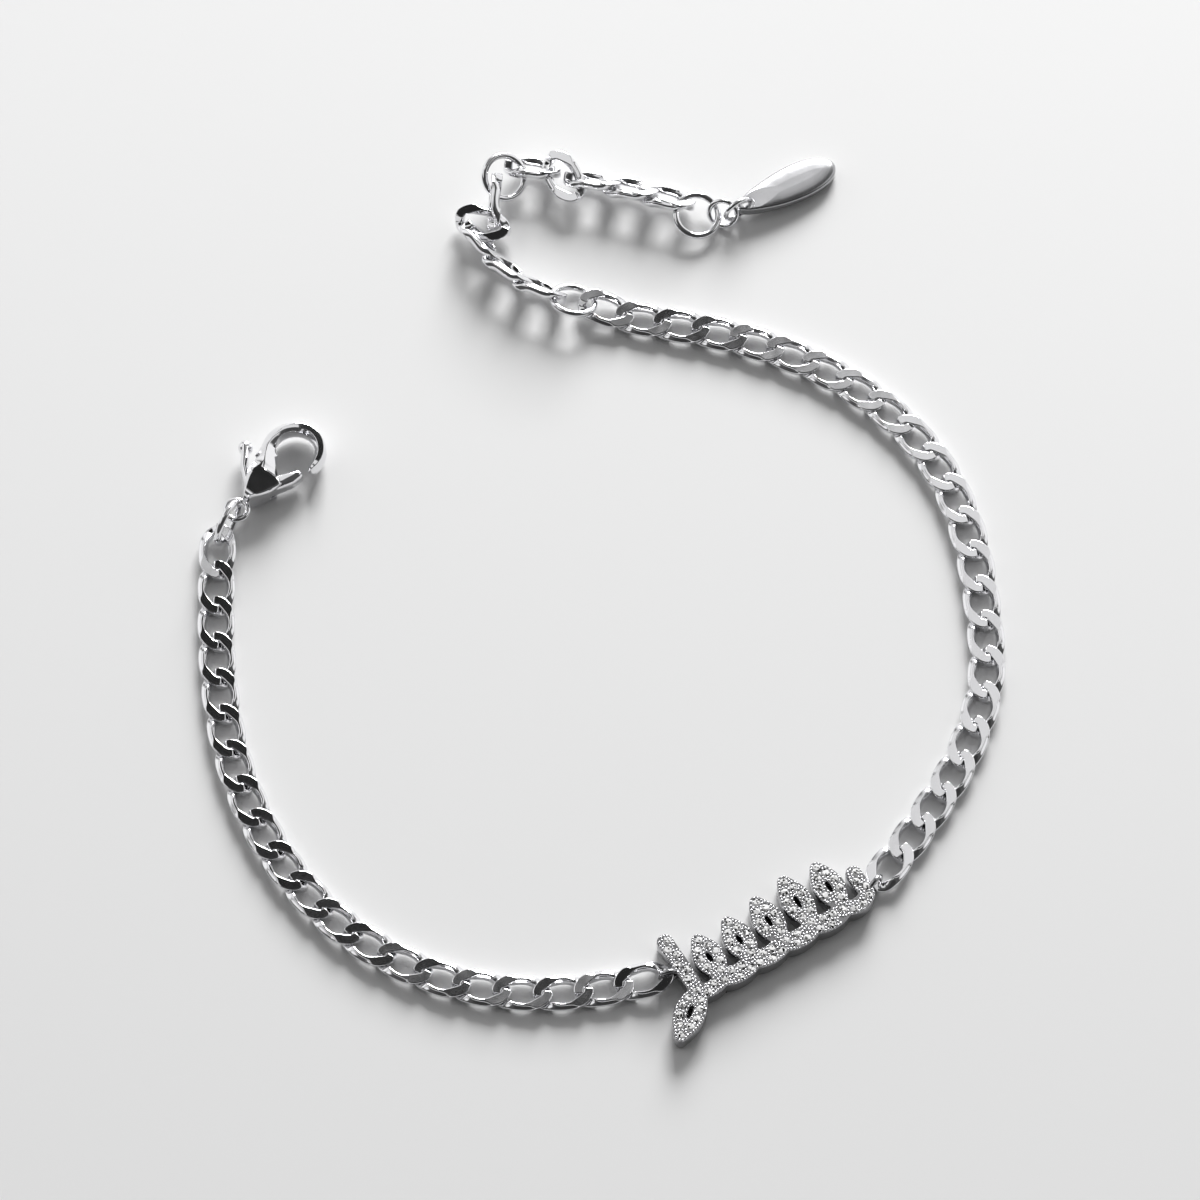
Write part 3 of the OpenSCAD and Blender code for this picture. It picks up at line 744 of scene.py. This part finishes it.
def ball(middle, radius, around=24, rows=13):
    """A ball with poles up and down."""
    v, u = np.meshgrid(np.linspace(-np.pi / 2, np.pi / 2, rows)[1:-1],
                       np.linspace(0, 2 * np.pi, around, endpoint=False), indexing="ij")
    rim = np.stack([np.cos(v) * np.cos(u), np.cos(v) * np.sin(u), np.sin(v)], -1).reshape(-1, 3)
    points = np.concatenate([rim, [[0, 0, -1], [0, 0, 1]]]) * radius + middle
    last = (rows - 3) * around
    faces = grid_faces(rows - 2, around, close_rows=False).tolist()
    faces += [[len(rim), (k + 1) % around, k] for k in range(around)]
    faces += [[len(rim) + 1, last + k, last + (k + 1) % around] for k in range(around)]
    return points, faces


lever_loops = [refine(loop, LEVER_STEP) for loop in outlines("claw_lever")]
lever_ways = [inward(lever_loops[0])] + [BORE_BEVEL * inward(loop) for loop in lever_loops[1:]]
thumb_ball = at_claw(ball(THUMB_BALL, THUMB_BALL_R))
lever = joined(slab(lever_loops, LEVER_WALL, ways=lever_ways), thumb_ball)
mesh_piece("clasp_lever", *lever, bright_plate, "lever", ["claw_lever"], sharp=60, level=False)

# The tag. A drop with a low domed face, stamped from sheet brass, drilled through its tail, tumbled
# and satin polished before it is plated. It hangs from the last ring and lies on the table.
TAG_LEN, TAG_W = 9.2, 3.1
TAG_AT, TAG_TURN, TAG_DIP = np.array([11.1564, 34.4469, 0.76]), 30, 4.5
TAG_SIDES = 120
# How much fuller the drop is towards its end
TAG_BELLY = 0.28
TAG_WALL = [(0.30, 0.0), (0.12, 0.04), (0.02, 0.14), (0.0, 0.26), (0.0, 0.58), (0.02, 0.69),
            (0.08, 0.77), (0.2, 0.83), (0.5, 0.87), (0.85, 0.89), (1.2, 0.9)]
# The inset is less round the tail: its share there, and from where to where along the tag it grows
TAIL_SHARE, TAIL_END, BELLY_START = 0.2, 1.5, 3.4
# The hole's place along the tag, its width, and the share of the inset round it
HOLE_AT, HOLE_D, HOLE_BEVEL = 0.95, 1.0, 0.05
# Satin polished: the lines stay, so it shows the lamps as soft pale bands and never turns black
satin_metal = plated_metal("satin stamped plate", "#b0b0b2", 0.20, 0.28, 0.006, 0.0012)

t = np.linspace(0, 2 * np.pi, TAG_SIDES, endpoint=False)
belly = 1 - TAG_BELLY * np.cos(t)
leaf = np.stack([TAG_LEN * (1 - np.cos(t)) / 2, -TAG_W / 2 * np.sin(t) * belly], 1)
leaf_share = np.interp(leaf[:, 0], [TAIL_END, BELLY_START], [TAIL_SHARE, 1.0])
leaf_way = np.stack([np.cos(t), np.sin(t) * belly], 1) * leaf_share[:, None]
hole_way = np.stack([np.cos(t[::3]), -np.sin(t[::3])], 1)
hole = [HOLE_AT, 0] + HOLE_D / 2 * hole_way
tag_points, tag_faces = slab([leaf, hole], TAG_WALL, ways=[leaf_way, HOLE_BEVEL * hole_way])
dip = np.radians(TAG_DIP)
tag_points = np.stack([tag_points[:, 0] * np.cos(dip) + tag_points[:, 2] * np.sin(dip),
                       tag_points[:, 1],
                       -tag_points[:, 0] * np.sin(dip) + tag_points[:, 2] * np.cos(dip)], 1)
mesh_piece("tag_stamping", turned(tag_points, TAG_TURN) + TAG_AT, tag_faces, satin_metal,
           "bracelet", ["tag"])

# The table. A large level board with a matt white paint, under the bracelet and a hair below it. It
# gives back soft light from below and takes soft shadows.
BOARD_SIZE, BOARD_Z = 4, -0.00002
bpy.ops.mesh.primitive_plane_add(size=BOARD_SIZE)
board = bpy.context.active_object
board.name = "board"
board.location = (0, 0, BOARD_Z)
board_paint = new_material("matt white board", Base_Color=linear("#e4e4e4"), Roughness=0.65)[0]
board.data.materials.append(board_paint)

# The light. One soft lamp low behind the table, a white room round it, and a dark gap over the
# table that the level facets mirror.
LAMP_AT, LAMP_SIZE, LAMP_WATTS = Vector((0.14, 0.80, 0.38)), 0.42, 13.0
ROOM_GLOW = 0.08
GAP_AT = (-0.27, 0.47, 0.84)
# The room's patches: towards where, out to how many degrees each is full and where it ends, and how
# strong it is. Later ones cover earlier ones
PATCHES = (
    ((-0.80, 0.45, 0.30), 16, 32, 1.0),
    ((0.80, 0.50, 0.25), 16, 32, 1.0),
    ((0.80, 0.05, 0.60), 10, 20, 0.9),
    ((-0.70, -0.10, 0.70), 8, 16, 0.9),
    ((0.10, 0.95, 0.20), 20, 38, 1.0),
    (GAP_AT, 26, 31, 0.8),
    ((0.0, -0.95, 0.30), 30, 50, 0.06),
    ((0.0, -0.50, 0.86), 14, 24, 0.04),
    (GAP_AT, 16.6, 17.6, 0.02))

lamp = bpy.data.objects.new("lamp", bpy.data.lights.new("lamp", "AREA"))
bpy.context.scene.collection.objects.link(lamp)
lamp.data.size, lamp.data.energy = LAMP_SIZE, LAMP_WATTS
lamp.location = LAMP_AT
lamp.rotation_euler = (-LAMP_AT).to_track_quat("-Z", "Y").to_euler()

world = bpy.data.worlds.new("studio")
bpy.context.scene.world = world
world.use_nodes = True
tree = world.node_tree
toward = add_node(tree, "ShaderNodeTexCoord").outputs["Generated"]


def patch(direction, inner, outer):
    """1 within inner degrees of a direction, 0 beyond outer degrees, smooth between them."""
    way = Vector(direction).normalized()
    dot = add_node(tree, "ShaderNodeVectorMath", {"operation": "DOT_PRODUCT"}, i0=toward, i1=way)
    full, gone = np.cos(np.radians(inner)), np.cos(np.radians(outer))
    share = add_node(tree, "ShaderNodeMapRange", {"interpolation_type": "SMOOTHSTEP"},
                     Value=dot.outputs["Value"], From_Min=gone, From_Max=full)
    return share.outputs["Result"]


glow = ROOM_GLOW
for direction, inner, outer, strength in PATCHES:
    glow = add_node(tree, "ShaderNodeMix", {"data_type": "FLOAT"},
                    i0=patch(direction, inner, outer), i2=glow, i3=strength).outputs["Result"]
back = tree.nodes["Background"]
tree.links.new(glow, back.inputs["Strength"])
back.inputs["Color"].default_value = (1, 1, 1, 1)
